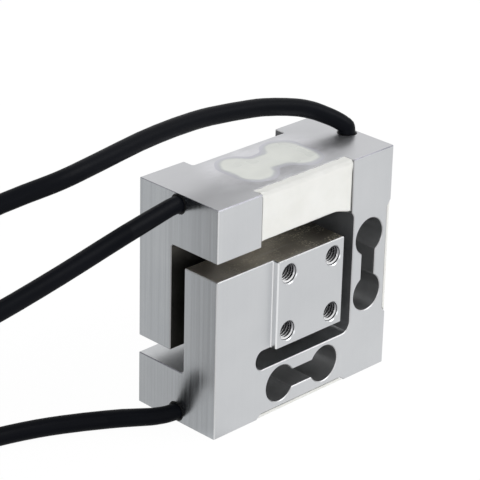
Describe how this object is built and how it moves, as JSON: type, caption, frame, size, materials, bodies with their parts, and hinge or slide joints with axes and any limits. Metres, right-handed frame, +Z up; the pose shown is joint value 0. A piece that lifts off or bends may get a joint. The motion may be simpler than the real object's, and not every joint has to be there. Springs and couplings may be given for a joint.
{
  "type": "three-axis force sensor",
  "caption": "Square milled aluminium block with slots and dog-bone holes that form bending beams at right angles, silicone-filled pockets, a drilled pad on the front and rear, and black cables.",
  "frame": {"origin": "on the floor, under the middle of the block", "axes": "X to the right along the front face, Y from the front pad to the rear pad, Z up"},
  "size_m": [0.1493, 0.1044, 0.0746],
  "materials": {
    "milled_aluminium": "satin, fine milling marks",
    "white_silicone": "smooth",
    "clear_silicone": "smooth, slightly clear",
    "gauge_foil": "matte film",
    "terminal_board": "matte",
    "cable_jacket": "satin",
    "bore_sealant": "matte",
    "tie_band": "satin",
    "core_red": "gloss",
    "core_black": "gloss",
    "core_green": "gloss",
    "core_white": "gloss"
  },
  "bodies": {
    "root": {"base_gauge_1": "gauge_foil", "base_gauge_2": "gauge_foil", "base_gauge_3": "gauge_foil", "base_gauge_4": "gauge_foil", "base_potting": "white_silicone", "base_terminals": "terminal_board", "flexure_body": "milled_aluminium", "front_potting": "white_silicone", "lower_cable": "cable_jacket", "lower_cable_coil": "cable_jacket", "lower_cable_core_black": "core_black", "lower_cable_core_green": "core_green", "lower_cable_core_red": "core_red", "lower_cable_core_white": "core_white", "lower_cable_end": "cable_jacket", "lower_cable_seal": "bore_sealant", "lower_coil_tie_1": "tie_band", "lower_coil_tie_2": "tie_band", "middle_cable": "cable_jacket", "middle_cable_coil": "cable_jacket", "middle_cable_core_black": "core_black", "middle_cable_core_green": "core_green", "middle_cable_core_red": "core_red", "middle_cable_core_white": "core_white", "middle_cable_end": "cable_jacket", "middle_cable_seal": "bore_sealant", "middle_coil_tie_1": "tie_band", "middle_coil_tie_2": "tie_band", "rear_potting": "white_silicone", "side_gauge_1": "gauge_foil", "side_gauge_2": "gauge_foil", "side_gauge_3": "gauge_foil", "side_gauge_4": "gauge_foil", "side_potting": "white_silicone", "side_terminals": "terminal_board", "top_bone_potting": "clear_silicone", "top_gauge_1": "gauge_foil", "top_gauge_2": "gauge_foil", "top_gauge_3": "gauge_foil", "top_gauge_4": "gauge_foil", "top_terminals": "terminal_board", "upper_cable": "cable_jacket", "upper_cable_coil": "cable_jacket", "upper_cable_core_black": "core_black", "upper_cable_core_green": "core_green", "upper_cable_core_red": "core_red", "upper_cable_core_white": "core_white", "upper_cable_end": "cable_jacket", "upper_cable_seal": "bore_sealant", "upper_coil_tie_1": "tie_band", "upper_coil_tie_2": "tie_band"}
  },
  "joints": []
}
